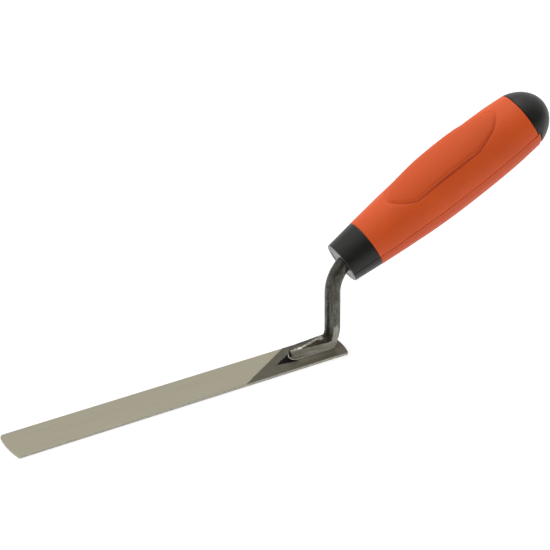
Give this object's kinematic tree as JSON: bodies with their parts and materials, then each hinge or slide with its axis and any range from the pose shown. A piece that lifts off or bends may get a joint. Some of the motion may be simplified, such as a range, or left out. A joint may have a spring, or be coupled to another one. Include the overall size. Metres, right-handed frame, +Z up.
{
  "type": "margin trowel",
  "caption": "Narrow hand trowel: long flat steel blade, cranked round steel shank welded on by a foot, and a round two-material handle with a thumb pad.",
  "frame": {"origin": "on the blade's underside, on its centre line, straight below the axis of the upright neck", "axes": "+X runs from the blade's tip back towards the butt of the handle, +Z up from the blade's working face, +Y across the blade"},
  "size_m": [0.299, 0.033, 0.1117],
  "materials": {
    "blade_steel": "ground steel with fine lengthwise scratches",
    "forged_steel": "forged bar with dark scale, dressed bright on the cheeks",
    "weld_metal": "rippled weld metal",
    "black_plastic": "fine matte texture",
    "orange_grip": "matte soft-touch elastomer"
  },
  "bodies": {
    "root": {"blade": "blade_steel", "shank": "forged_steel", "weld_left": "weld_metal", "weld_right": "weld_metal", "handle_core": "black_plastic", "grip_sleeve": "orange_grip", "end_cap": "black_plastic"}
  },
  "joints": []
}
